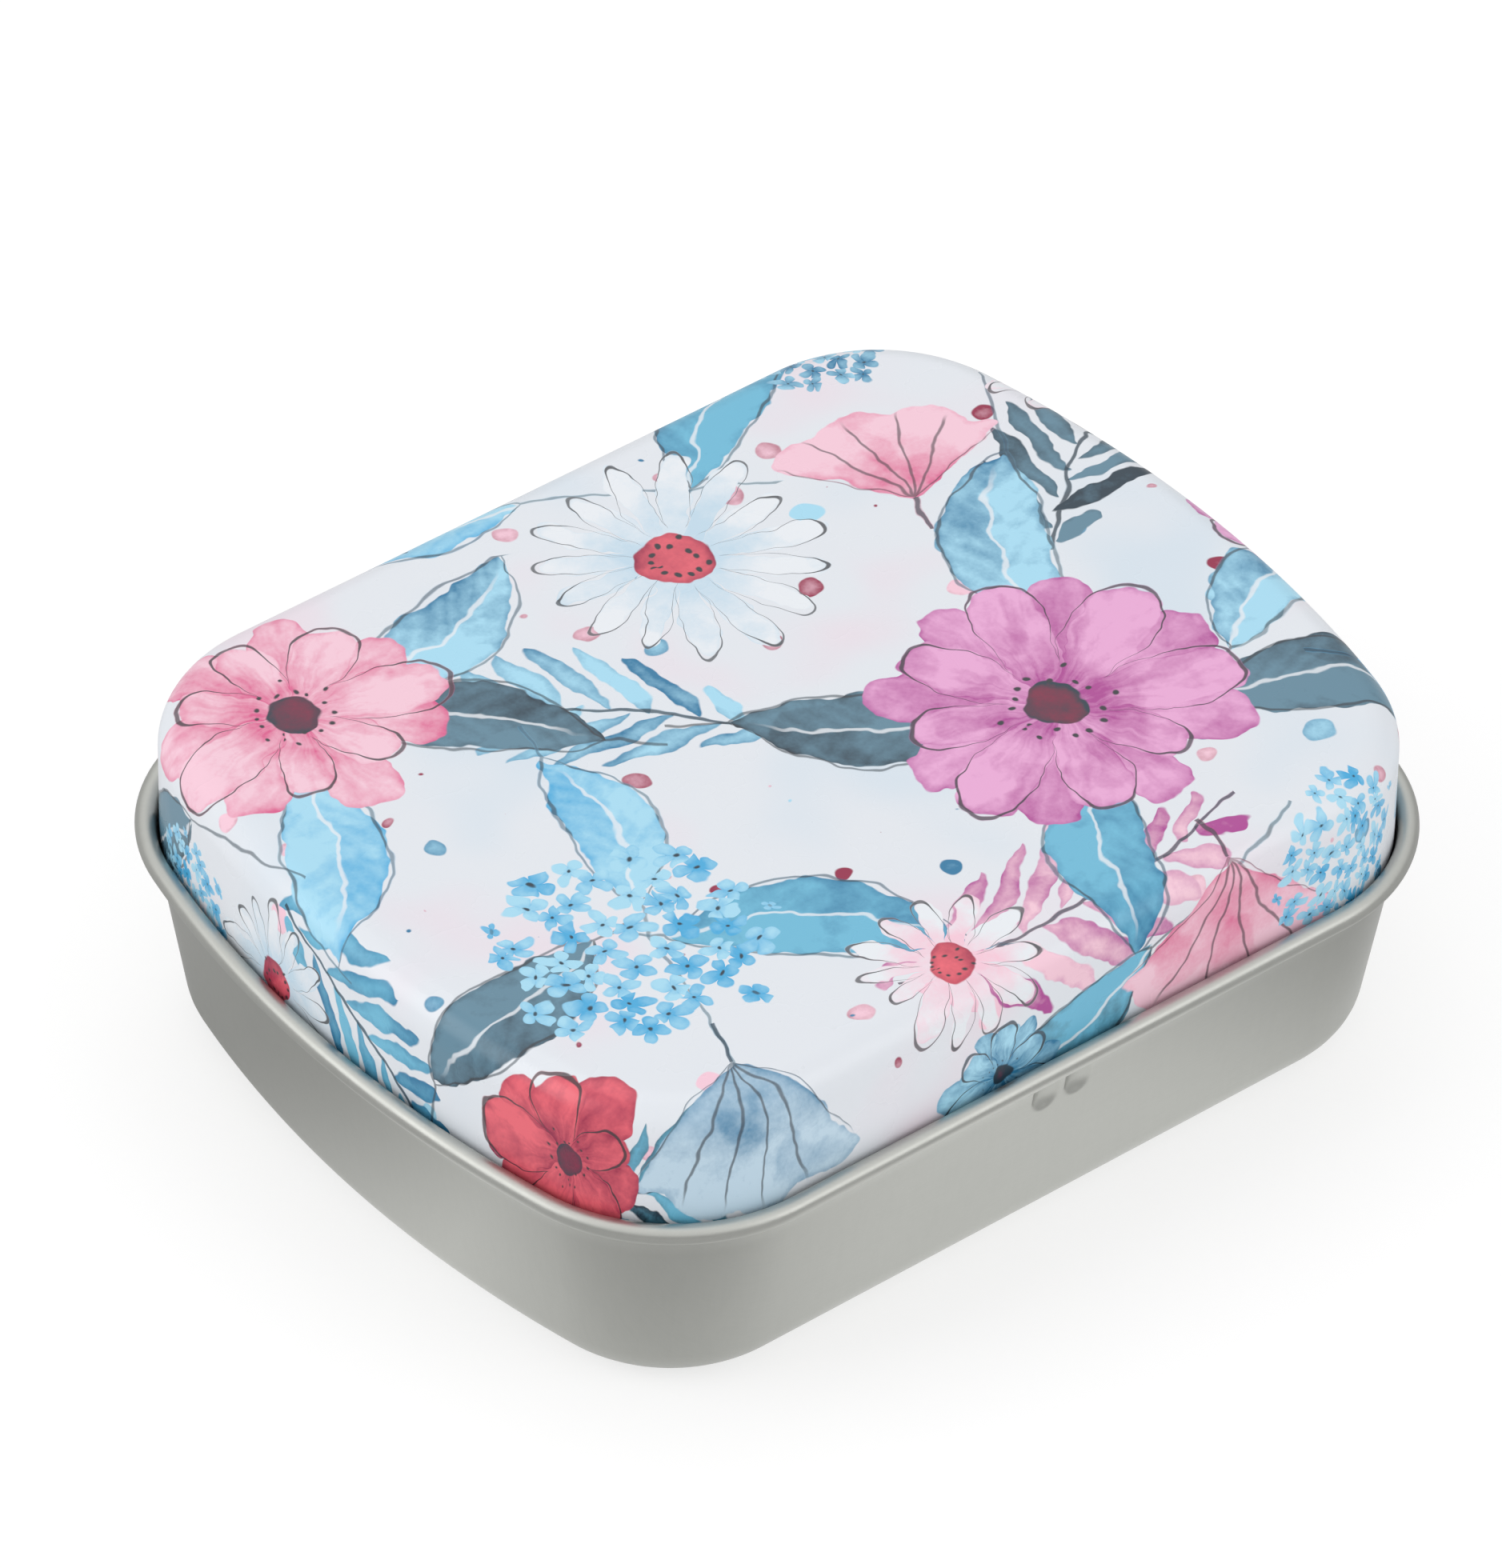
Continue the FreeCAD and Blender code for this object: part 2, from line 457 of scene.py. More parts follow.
def split_rows(rows, height, after):
    """Cut rows in two on the first straight stretch past row index after that crosses a height."""
    for i in range(after, len(rows) - 1):
        (a, normal), (b, _) = rows[i], rows[i + 1]
        if (a.y - height) * (b.y - height) <= 0:
            middle = (a.lerp(b, (height - a.y) / (b.y - a.y)), normal)
            return rows[:i + 1] + [middle], [middle] + rows[i + 1:]
    raise ValueError("no row crosses that height")


def fill_rows(rows, low, high, step):
    """Add close rows on the straight wall between two heights."""
    filled = []
    for (a, normal), (b, _) in zip(rows, rows[1:]):
        filled.append((a, normal))
        top, bottom = min(a.y, high), max(b.y, low)
        if a.y > b.y and top - bottom > step:
            for z in steps(top, bottom, round((top - bottom) / step)) + [bottom]:
                if b.y < z < a.y:
                    filled.append((a.lerp(b, (a.y - z) / (a.y - b.y)), normal))
    return filled + rows[-1:]


# Sheet pieces: rows swept round the plan, with branches that leave the trunk only at some columns

LEFT, RIGHT = 1, -1
PRINTED, BARE = 0, 1


def unrolled_places(rows, end_x):
    """How far out each row's right face lies when the sheet is rolled out flat, for a last row at end_x."""
    faces = [point - normal * half_sheet for point, normal in rows]
    places = [end_x]
    for a, b in zip(reversed(faces[:-1]), reversed(faces[1:])):
        places.append(places[-1] + (a - b).length)
    return places[::-1]


def sheet_piece(name, columns, trunk, branches, branch_at, shift=None):
    """A closed sheet mesh with flat plates inside the trunk's last row. Its UV map is the flat sheet, in
    metres."""
    mesh = bmesh.new()
    flat_map = mesh.loops.layers.uv.new("flat_sheet")
    count = len(columns)
    vertices = {}
    flat_place = {}
    rows = {None: trunk, **branches}
    places = {None: unrolled_places(trunk, trunk[-1][0].x)}
    for key, branch in branches.items():
        places[key] = unrolled_places(branch, places[None][0])

    def vertex(row, j, side):
        key = (*row, j % count, side)
        if key not in vertices:
            branch, i = row
            point, normal = rows[branch][i]
            face = point + normal * half_sheet * side
            edge, facing = columns[j % count]
            plan = edge + facing * face.x
            place = Vector((plan.x, plan.y, face.y))
            if shift:
                place += shift(place, side)
            vertices[key] = mesh.verts.new(place * MM)
            flat_place[vertices[key]] = (edge + facing * places[branch][i]) * MM
        return vertices[key]

    def add(corners, material):
        face = mesh.faces.new(corners)
        face.material_index = material
        face.smooth = True

    def chain(branch):
        own = [(branch, i) for i in range(len(rows[branch]) - 1)] if branch else []
        return own + [(None, 0)]

    def plates(side, material):
        ring = [vertex((None, len(trunk) - 1), j, side) for j in range(count)]
        for k in range(1, plate_rings):
            share = 1 - k / plate_rings
            inner = []
            for outer in (vertex((None, len(trunk) - 1), j, side).co for j in range(count)):
                inner.append(mesh.verts.new((outer.x * share, outer.y * share, outer.z)))
                flat_place[inner[-1]] = inner[-1].co.xy
            for j in range(count):
                add((ring[j - 1], ring[j], inner[j], inner[j - 1]), material)
            ring = inner
        middle = mesh.verts.new((0, 0, ring[0].co.z))
        flat_place[middle] = middle.co.xy
        for j in range(count):
            add((ring[j - 1], ring[j], middle), material)

    for j in range(count):
        branch = branch_at(columns[j], columns[(j + 1) % count])
        before = branch_at(columns[j - 1], columns[j])
        path = chain(branch) + [(None, i) for i in range(1, len(trunk))]
        for a, b in zip(path, path[1:]):
            for side, material in ((LEFT, BARE), (RIGHT, PRINTED)):
                add((vertex(a, j, side), vertex(a, j + 1, side),
                     vertex(b, j + 1, side), vertex(b, j, side)), material)
        start = path[0]
        add((vertex(start, j, LEFT), vertex(start, j + 1, LEFT),
             vertex(start, j + 1, RIGHT), vertex(start, j, RIGHT)), BARE)
        for side_branch in {branch, before} - {None} if branch != before else ():
            side_path = chain(side_branch)
            for a, b in zip(side_path, side_path[1:]):
                add((vertex(a, j, LEFT), vertex(b, j, LEFT),
                     vertex(b, j, RIGHT), vertex(a, j, RIGHT)), BARE)
    plates(LEFT, BARE)
    plates(RIGHT, PRINTED)
    bmesh.ops.recalc_face_normals(mesh, faces=mesh.faces)
    for face in mesh.faces:
        for loop in face.loops:
            loop[flat_map].uv = flat_place[loop.vert]
    data = bpy.data.meshes.new(name)
    mesh.to_mesh(data)
    mesh.free()
    data.set_sharp_from_angle(angle=crease_angle)
    piece = bpy.data.objects.new(name, data)
    bpy.context.scene.collection.objects.link(piece)
    return piece


def near_knuckle(column, following, reach):
    """Whether the span between two columns lies on the back within reach of a knuckle's middle."""
    if column[1].y < 1 or following[1].y < 1:
        return False
    middle = (column[0].x + following[0].x) / 2
    return abs(abs(middle) - knuckle_x) < reach


def knuckle_breaks(*reaches):
    """Places along the back where something starts or ends beside a knuckle."""
    return [side * knuckle_x + end * reach for side in (1, -1) for end in (1, -1) for reach in reaches]


# Base pan

def dent_shift(place, side):
    """How far the two dents push a point of the front wall inwards."""
    if place.y > -half_depth / 2 or abs(place.x) > dent_reach:
        return Vector()
    skin = dent_radius if side == LEFT else dent_radius + sheet
    along = max(0, abs(place.z - dent_height) - dent_half_straight)
    depth = 0
    for middle in (dent_spacing / 2, -dent_spacing / 2):
        across = math.hypot(place.x - middle, along)
        level = math.sqrt(max(0, skin ** 2 - across ** 2)) - (skin - dent_depth)
        soft = min(max(level + dent_softness, 0), 2 * dent_softness)
        depth += max(level, 0) if level > dent_softness else soft ** 2 / (4 * dent_softness)
    return Vector((0, math.cos(wall_draft), math.sin(wall_draft))) * depth


def make_base():
    """The base pan, notched at the back where the lid's knuckles stand."""
    top_reach = curl_middle_radius * math.tan((math.pi / 2 - wall_draft) / 2)
    top_x = -half_sheet - curl_middle_radius - top_reach
    top_z = rim_height - half_sheet
    foot_x = top_x - (top_z - half_sheet) * math.tan(wall_draft)
    panel_x = foot_x - bottom_radius - standing_ring_width
    raised_x = panel_x - panel_slope_width
    curl_foot = rim_height - 2 * curl_radius + half_sheet
    rows = profile_rows([
        (-curl_radius - curl_lip, curl_foot),
        (-half_sheet, curl_foot, curl_middle_radius),
        (-half_sheet, top_z, curl_middle_radius),
        (top_x, top_z, curl_middle_radius),
        (foot_x, half_sheet, bottom_radius - half_sheet),
        (panel_x, half_sheet, panel_bend_radius),
        (raised_x, half_sheet + panel_rise, panel_bend_radius),
        (raised_x - floor_lap, half_sheet + panel_rise),
    ], arc_step)
    rim, wall = split_rows(rows, notch_height, 0)
    wall = fill_rows(wall, dent_height - 2 * dent_radius, notch_height, dent_step)
    notch_reach = knuckle_width / 2 + knuckle_side_gap
    columns = plan_columns(run_stops((), dent_reach, dent_step), run_stops(knuckle_breaks(notch_reach)))

    def branch_at(column, following):
        return None if near_knuckle(column, following, notch_reach) else "rim"

    return sheet_piece("tin_base", columns, wall, {"rim": rim}, branch_at, dent_shift)


# Lid

def make_lid():
    """The lid, with its hem cut away at two tabs that curl into knuckles."""
    wall = -lid_inset - half_sheet
    hem = wall - 2 * hem_bend_radius
    top = lid_height - half_sheet
    foot = skirt_height + half_sheet
    rows = profile_rows([
        (hem, skirt_height + hem_height),
        (hem, foot, hem_bend_radius),
        (wall, foot, hem_bend_radius),
        (wall, top, lid_edge_radius - half_sheet),
        (wall - lid_edge_radius - lid_lap, top),
    ], fillet_step)
    wall_start = max(range(len(rows)), key=lambda i: rows[i][0].x)
    skirt, upper = split_rows(rows, axis_height, wall_start)
    inner = -half_sheet - 2 * curl_middle_radius
    tab = profile_rows([
        (inner, axis_height - knuckle_lip),
        (inner, axis_height + curl_middle_radius, curl_middle_radius),
        (-half_sheet, axis_height + curl_middle_radius, curl_middle_radius),
        (-half_sheet, axis_height - curl_middle_radius, curl_middle_radius),
        (wall, axis_height - curl_middle_radius, tab_bend_radius),
        (wall, axis_height),
    ], arc_step)
    tab_reach = knuckle_width / 2
    gap_reach = tab_reach + tab_relief
    columns = plan_columns(run_stops(()), run_stops(knuckle_breaks(tab_reach, gap_reach)))

    def branch_at(column, following):
        if near_knuckle(column, following, tab_reach):
            return "tab"
        return None if near_knuckle(column, following, gap_reach) else "hem"

    return sheet_piece("printed_lid", columns, upper, {"hem": skirt, "tab": tab}, branch_at)


# Shader sums: a Value stands for a node's output, and sums with Values add Math nodes

# Sockets of a Mix node
VECTOR_A, VECTOR_B, VECTOR_RESULT = 4, 5, 1
COLOUR_A, COLOUR_B, COLOUR_RESULT = 6, 7, 2


class Value:
    """A number, vector or colour that shader nodes work out."""

    def __init__(self, socket):
        self.socket = socket

    def __add__(self, other):
        return calc("ADD", self, other)

    __radd__ = __add__

    def __sub__(self, other):
        return calc("SUBTRACT", self, other)

    def __rsub__(self, other):
        return calc("SUBTRACT", other, self)

    def __mul__(self, other):
        return calc("MULTIPLY", self, other)

    __rmul__ = __mul__

    def __truediv__(self, other):
        return calc("DIVIDE", self, other)

    def __rtruediv__(self, other):
        return calc("DIVIDE", other, self)

    def __pow__(self, other):
        return calc("POWER", self, other)

    def __abs__(self):
        return calc("ABSOLUTE", self)


def feed(socket, value):
    """Link a Value to a node's input, or set the input to a plain number or colour."""
    if isinstance(value, Value):
        socket.id_data.links.new(value.socket, socket)
    else:
        socket.default_value = value


def tree_of(*values):
    """The node tree that the first Value among these belongs to."""
    return next(value.socket.id_data for value in values if isinstance(value, Value))


def add_node(tree, kind, inputs, output=0, **settings):
    """Add a shader node and give back one of its outputs."""
    node = tree.nodes.new("ShaderNode" + kind)
    for name, setting in settings.items():
        setattr(node, name, setting)
    for key, value in inputs.items():
        feed(node.inputs[key], value)
    return Value(node.outputs[output])


def calc(operation, *values):
    """A Math node."""
    return add_node(tree_of(*values), "Math", dict(enumerate(values)), operation=operation)


def ramp(value, low, high, to_low=0.0, to_high=1.0):
    """A smooth step from to_low at low to to_high at high."""
    inputs = {"Value": value, "From Min": low, "From Max": high, "To Min": to_low, "To Max": to_high}
    return add_node(tree_of(value), "MapRange", inputs, interpolation_type="SMOOTHSTEP")


def blend(share, under, over):
    """Two colours mixed."""
    inputs = {0: share, COLOUR_A: under, COLOUR_B: over}
    return add_node(tree_of(share, under, over), "Mix", inputs, output=COLOUR_RESULT, data_type="RGBA")


def vector(x, y, z=0.0):
    """A vector from numbers."""
    return add_node(tree_of(x, y, z), "CombineXYZ", {"X": x, "Y": y, "Z": z})


def length(place):
    """A vector's length."""
    return add_node(tree_of(place), "VectorMath", {0: place}, output="Value", operation="LENGTH")


def noise(place, scale, detail=2.0, roughness=0.5, output="Fac"):
    """Smooth noise, as a number from 0 to 1 or as a colour."""
    inputs = {"Vector": place, "Scale": scale, "Detail": detail, "Roughness": roughness}
    return add_node(tree_of(place), "TexNoise", inputs, output=output)


def chance(number):
    """A fixed random number from 0 to 1 for each whole number, from the far digits of a sine."""
    return calc("FRACT", calc("SINE", number * random_pitch) * random_gain)


# Print: watercolour motifs on the flat sheet, each drawn in its own coordinates, in shares of its size

# Middle and size in mm, turn in degrees, bend as a share, number of petals, and colours. A flower's
# bend is a turn of its petals, and a fan's is where its scallops start
Motif = collections.namedtuple("Motif", "x y turn size bend count deep pale")

# What a motif is drawn with: wash and pen coordinates, blots, weight of the pen in mm, settings
Own = collections.namedtuple("Own", "wash pen blot press size bend count deep pale")

Petal = collections.namedtuple("Petal", "depth across radius number")


def choose(share, under, over):
    """One of two vectors or colours."""
    if len(over) == len(WHITE):
        return blend(share, under, over)
    inputs = {0: share, VECTOR_A: under, VECTOR_B: over}
    return add_node(tree_of(share), "Mix", inputs, output=VECTOR_RESULT, data_type="VECTOR")


def nearest(place, motifs):
    """The settings of the motif whose middle is nearest, counted in its own sizes."""
    chosen, least = None, None
    for item in motifs:
        settings = ((item.x, item.y, item.count), (math.radians(item.turn), item.size, item.bend),
                    item.deep, item.pale)
        away = add_node(tree_of(place), "VectorMath", {0: place, 1: (item.x, item.y, 0)}, output="Value",
                        operation="DISTANCE") / item.size
        if chosen:
            nearer = calc("LESS_THAN", away, least)
            chosen = [choose(nearer, old, new) for old, new in zip(chosen, settings)]
            least = calc("MINIMUM", least, away)
        else:
            chosen, least = settings, away
    return chosen


def part(value, axis):
    """One of the numbers in a vector. A Separate XYZ node would keep shader memory for those not used."""
    if isinstance(value, Value):
        pick = tuple(float(k == axis) for k in range(3))
        return add_node(tree_of(value), "VectorMath", {0: value, 1: pick}, output="Value",
                        operation="DOT_PRODUCT")
    return value[axis]


def wash_over(own, depth, amount, deep=None, pale=None):
    """A wash's colour and cover. Pigment gathers in blots and along its edge, where depth is 0."""
    inside = depth * own.size
    pooled = ramp(inside, 0.0, edge_pool_width, edge_pool_tone, 0.0)
    colour = blend(pooled + amount + own.blot, pale or own.pale, deep or own.deep)
    return colour, ramp(inside, 0.0, edge_softness)


def pen_line(own, off, weight=1.0):
    """Cover of a pen line, off being the distance from its middle."""
    return ramp(abs(off) * own.size - own.press * weight, 0.0, pen_softness, pen_cover, 0.0)


def over(under, top):
    """One painted layer on another, each a colour and its cover."""
    return blend(top[1], under[0], top[0]), calc("MAXIMUM", under[1], top[1])


def petals_at(place, count, turn, waist, roundness, spread):
    """The nearest petal: depth inside it, place across it from -1 to 1, radius from the middle, number."""
    angle = calc("ARCTAN2", part(place, 1), part(place, 0))
    spoke = angle * (count / math.tau) + turn
    whole = calc("FLOOR", spoke)
    across = calc("MULTIPLY_ADD", spoke - whole, 2.0, -1.0)
    number = calc("FLOORED_MODULO", whole, count)
    reach = calc("MULTIPLY_ADD", chance(number + turn), -spread, 1.0)
    crown = calc("MULTIPLY_ADD", abs(across) ** roundness, waist - 1.0, 1.0)
    radius = length(place)
    return Petal(reach * crown - radius, across, radius, number)


def ring_of_dots(place, count, ring, dot):
    """Depth inside small dots set round a ring, some nearer and some farther."""
    spoke = calc("ARCTAN2", part(place, 1), part(place, 0)) * (count / math.tau)
    number = calc("FLOOR", spoke)
    radius = length(place)
    sideways = (spoke - number - half_share) * radius * (math.tau / count)
    ring_radius = calc("MULTIPLY_ADD", chance(number), ring_scatter_share * ring, ring_near_share * ring)
    outwards = radius - ring_radius
    return dot - calc("SQRT", sideways * sideways + outwards * outwards)


def draw_blossom(own):
    """A full open flower: two rows of broad petals, a dark middle and a ring of stamens."""
    shape = (blossom_waist_share, blossom_roundness)
    rows = (
        (own.bend + blossom_back_turn, blossom_back_spread_share, blossom_back_tone),
        (own.bend, blossom_front_spread_share, blossom_front_tone),
    )
    layers = None
    for turn, spread, row_tone in rows:
        petal = petals_at(own.wash, own.count, turn, *shape, spread)
        streaks = noise(vector(petal.across * streaks_across + petal.number * streak_petal_step,
                               petal.radius * streaks_outwards), streak_scale)
        tone = streaks * streak_tone + petal.across * blossom_side_tone
        fade_tones = (row_tone + blossom_throat_tone, row_tone + blossom_tip_tone)
        tone = tone + ramp(petal.radius, *blossom_throat_shares, *fade_tones)
        layer = wash_over(own, petal.depth, tone)
        layers = over(layers, layer) if layers else layer
    outline = petals_at(own.pen, own.count, own.bend, *shape, blossom_front_spread_share)
    layers = over(layers, (pen_black, pen_line(own, outline.depth)))
    layers = over(layers, wash_over(own, heart_share - petal.radius, heart_tone, slate, crimson))
    stamens = ring_of_dots(own.pen, stamen_count, stamen_ring_share, stamen_dot_share)
    return over(layers, (pen_black, ramp(stamens * own.size, 0.0, edge_softness)))


def draw_daisy(own):
    """A flower of many slim petals in thin pen line over a pale wash."""
    shape = (own.count, own.bend, daisy_waist_share, daisy_roundness, daisy_spread_share)
    petal = petals_at(own.wash, *shape)
    fade = ramp(petal.radius, *daisy_throat_shares, daisy_throat_tone, daisy_tip_tone)
    layers = wash_over(own, petal.depth, fade + chance(petal.number) * daisy_petal_tone)
    layers = over(layers, (pen_black, pen_line(own, petals_at(own.pen, *shape).depth)))
    layers = over(layers, wash_over(own, eye_share - petal.radius, eye_tone, crimson, coral))
    seeds = ring_of_dots(own.pen, seed_count, seed_ring_share, seed_dot_share)
    return over(layers, (pen_black, ramp(seeds * own.size, 0.0, edge_softness)))


def draw_leaf(own):
    """A pointed leaf, one half darker, with side veins, a pale midrib and a loose pen outline."""
    edges = []
    for place in (own.wash, own.pen):
        along = part(place, 0) + half_share
        bulge = calc("MAXIMUM", along * (1 - along) * 4, 0.0)
        bent = part(place, 1) - bulge * own.bend
        edges.append((along, bent, bulge ** leaf_fullness * leaf_width_share - abs(bent)))
    along, bent, depth = edges[0]
    veins = calc("PINGPONG", along - abs(bent) * vein_lean, vein_gap_share) * vein_tone
    halves = ramp(bent, -leaf_fold_share, leaf_fold_share, leaf_lit_tone, leaf_shaded_tone)
    leaf = wash_over(own, depth, halves + veins + along * leaf_tip_tone)
    rib = ramp(abs(bent) * own.size, rib_core, rib_edge, rib_cover, 0.0)
    rib = rib * ramp(along, *rib_end_shares, 1.0, 0.0) * leaf[1]
    leaf = over(leaf, (mist_pale, rib))
    return over(leaf, (pen_black, pen_line(own, edges[1][2], leaf_pen_weight) * leaf_pen_cover))


def draw_sprig(own):
    """A bent stem with slim leaves on both sides that lean to its tip."""
    gap = sprig_gap_share
    along = part(own.wash, 0) + half_share
    bent = part(own.wash, 1) - along * along * own.bend
    out = abs(bent)
    stagger = calc("GREATER_THAN", bent, 0.0) * (gap / 2)
    row = (along + stagger - out * sprig_lean) / gap
    number = calc("FLOOR", row)
    sideways = abs(row - number - half_share) * (gap / math.hypot(1, sprig_lean))
    root = calc("MULTIPLY_ADD", number, gap, gap / 2)
    reach = ramp(root, 0.0, sprig_root_share, sprig_root_reach_share, 1.0)
    reach = reach * ramp(root, *sprig_taper_shares, *sprig_reach_shares)
    share = calc("MINIMUM", out / reach, 1.0)
    bulge = share * (1 - share) * 4
    on_stem = calc("COMPARE", root, half_share, sprig_leafy_share)
    depth = bulge ** sprig_leaf_fullness * sprig_leaf_width_share * on_stem - sideways
    leaf_tone = chance(number + stagger * sprig_side_step) * sprig_leaf_tone
    leaves = wash_over(own, depth, leaf_tone + sprig_least_tone + share * sprig_tip_tone)
    pen_along = part(own.pen, 0) + half_share
    stem = part(own.pen, 1) - pen_along * pen_along * own.bend
    stem_cover = pen_line(own, stem) * calc("COMPARE", pen_along, half_share, sprig_stem_share)
    return over(leaves, (slate, stem_cover))


def draw_fan(own):
    """A leaf that opens like a fan from its stalk, with pen ribs."""
    angle = calc("ARCTAN2", part(own.wash, 1), part(own.wash, 0) + half_share)
    radius = length(vector(part(own.wash, 0) + half_share, part(own.wash, 1)))
    rim = fan_radius_share - radius + abs(calc("SINE", angle * fan_scallops + own.bend)) * fan_scallop_share
    side = (fan_half_angle - abs(angle)) * radius
    tone = ramp(radius, *fan_fade_shares, fan_root_tone, fan_rim_tone)
    leaf = wash_over(own, calc("SMOOTH_MIN", rim, side, fan_rounding_share), tone)
    pen_x = part(own.pen, 0) + half_share
    pen_angle = calc("ARCTAN2", part(own.pen, 1), pen_x)
    far = length(vector(pen_x, part(own.pen, 1)))
    rib = calc("PINGPONG", pen_angle + fan_half_angle, fan_half_angle / fan_ribs) * far
    on_fan = calc("COMPARE", pen_angle, 0.0, fan_half_angle)
    on_fan = on_fan * ramp(far, *fan_rib_end_shares, fan_rib_cover, 0.0)
    leaf = over(leaf, (pen_black, pen_line(own, rib, fan_rib_weight) * on_fan))
    on_stalk = calc("COMPARE", pen_x, -fan_stalk_share / 2, fan_stalk_share / 2)
    return over(leaf, (slate, pen_line(own, part(own.pen, 1)) * on_stalk))


def cells(place, scale, looseness):
    """Scattered cells: distance from a cell's middle, that middle, and two random numbers for the cell."""
    node = tree_of(place).nodes.new("ShaderNodeTexVoronoi")
    node.voronoi_dimensions = "2D"
    feed(node.inputs["Vector"], place)
    feed(node.inputs["Scale"], scale)
    feed(node.inputs["Randomness"], looseness)
    tint = Value(node.outputs["Color"])
    return Value(node.outputs["Distance"]), Value(node.outputs["Position"]), part(tint, 0), part(tint, 1)


def draw_cluster(own):
    """A round head of small four-petalled florets."""
    _, middle, random_turn, random_tone = cells(own.wash, florets_in_size, floret_looseness)
    here = add_node(tree_of(middle), "VectorMath", {0: own.wash, 1: middle}, operation="SUBTRACT")
    radius = length(here)
    angle = calc("ARCTAN2", part(here, 1), part(here, 0)) + random_turn * floret_turn
    petal = abs(calc("COSINE", angle * 2)) ** floret_fullness
    kept = ramp(length(middle), *cluster_edge_shares, 1.0, 0.0)
    depth = (petal * floret_petal_share + floret_body_share) * kept - radius
    tone = random_tone * floret_tone
    tone = tone + ramp(radius, *floret_fade_shares, floret_throat_tone, floret_tip_tone)
    florets = wash_over(own, depth, tone)
    eye = ramp((floret_eye_share - radius) * own.size, 0.0, edge_softness) * kept
    return over(florets, (slate, eye))


def draw_drops(own):
    """Loose drops of paint of many sizes."""
    radius, _, random_size, random_tone = cells(own.pen, 1.0, drop_looseness)
    depth = ramp(random_size, drop_from_chance, 1.0, *drop_radius_shares) - radius
    return wash_over(own, depth, random_tone * drop_tone + drop_least_tone)


# Layers of the print, the lowest first
print_layers = (
    (draw_drops, (Motif(1.3, 2.1, 20, 6.5, 0, 0, crimson, rose_pale),)),
    (draw_drops, (Motif(-3.1, 4.7, 50, 8.0, 0, 0, teal, sky_pale),)),
    (draw_sprig, (
        Motif(-11, 11, 128, 30, 0.2, 0, teal, sky_pale),
        Motif(38, 13, 48, 30, -0.25, 0, slate, slate_pale),
        Motif(3, -33, -12, 34, 0.25, 0, orchid, rose_pale),
        Motif(-47, -6, 250, 28, -0.2, 0, teal, teal_pale),
        Motif(18, 40, 10, 30, 0.2, 0, sky, sky_pale),
        Motif(-36, -37, 330, 26, 0.2, 0, slate, teal_pale),
    )),
    (draw_leaf, (
        Motif(6, -4, 150, 22, 0.12, 0, slate, slate_pale),
        Motif(11, -28, 245, 20, -0.12, 0, teal, teal_pale),
        Motif(28, 4, 62, 22, 0.14, 0, teal, sky_pale),
        Motif(-20, 12, 318, 20, 0.12, 0, slate, slate_pale),
        Motif(-38, 8, 240, 20, 0.1, 0, sky, sky_pale),
        Motif(-14, -22, 320, 22, 0.12, 0, teal, teal_pale),
        Motif(-37, -12, 180, 20, 0.14, 0, slate, slate_pale),
        Motif(35, -24, 330, 22, 0.12, 0, slate, slate_pale),
        Motif(20, 30, 30, 20, 0.12, 0, teal, teal_pale),
    )),
    (draw_leaf, (
        Motif(-15, 25, 12, 20, -0.14, 0, teal, sky_pale),
        Motif(-20, -2, 75, 18, -0.12, 0, sky, sky_pale),
        Motif(40, -12, 20, 18, 0.12, 0, teal, sky_pale),
        Motif(-8, 36, 150, 18, 0.12, 0, sky, sky_pale),
        Motif(-44, 30, 100, 20, 0.12, 0, slate, slate_pale),
        Motif(0, -40, 200, 18, 0.12, 0, slate, teal_pale),
    )),
    (draw_fan, (
        Motif(45, -26, 320, 15, 0.0, 0, sky, mist),
        Motif(16, -40, 265, 14, 1.0, 0, rose, rose_pale),
        Motif(-16, 42, 120, 14, 2.0, 0, sky, mist),
        Motif(-30, -36, 250, 15, 0.5, 0, teal, mist),
        Motif(26, 19, 70, 12, 0.5, 0, rose, rose_pale),
    )),
    (draw_daisy, (
        Motif(5, 19, 0, 13, 0.3, 15, mist, mist_pale),
        Motif(46, 20, 0, 9, 0.1, 13, rose_pale, mist_pale),
        Motif(-8, -30, 0, 8, 0.2, 12, rose_pale, mist_pale),
        Motif(-50, 8, 0, 8, 0.6, 13, mist, mist_pale),
    )),
    (draw_cluster, (
        Motif(-25, -14, 15, 13, 0, 0, sky, sky_pale),
        Motif(31, 35, 40, 9, 0, 0, teal, sky_pale),
        Motif(28, -38, 70, 9, 0, 0, sky, sky_pale),
        Motif(-50, 22, 30, 8, 0, 0, sky, sky_pale),
    )),
    (draw_blossom, (
        Motif(17, -12, 12, 15.5, 0.2, 8, orchid, orchid_pale),
        Motif(-29, 22, 40, 12.5, 0.6, 7, rose, rose_pale),
        Motif(48, -2, 70, 9, 0.4, 6, orchid, orchid_pale),
        Motif(-44, -26, 20, 9, 0.3, 5, crimson, coral),
        Motif(41, 37, 60, 8, 0.3, 5, crimson, coral),
        Motif(-6, -42, 0, 6, 0.1, 6, teal, sky_pale),
    )),
)


# Materials

def new_material(name):
    """A node material and its Principled shader."""
    material = bpy.data.materials.new(name)
    material.use_nodes = True
    return material, material.node_tree.nodes["Principled BSDF"]


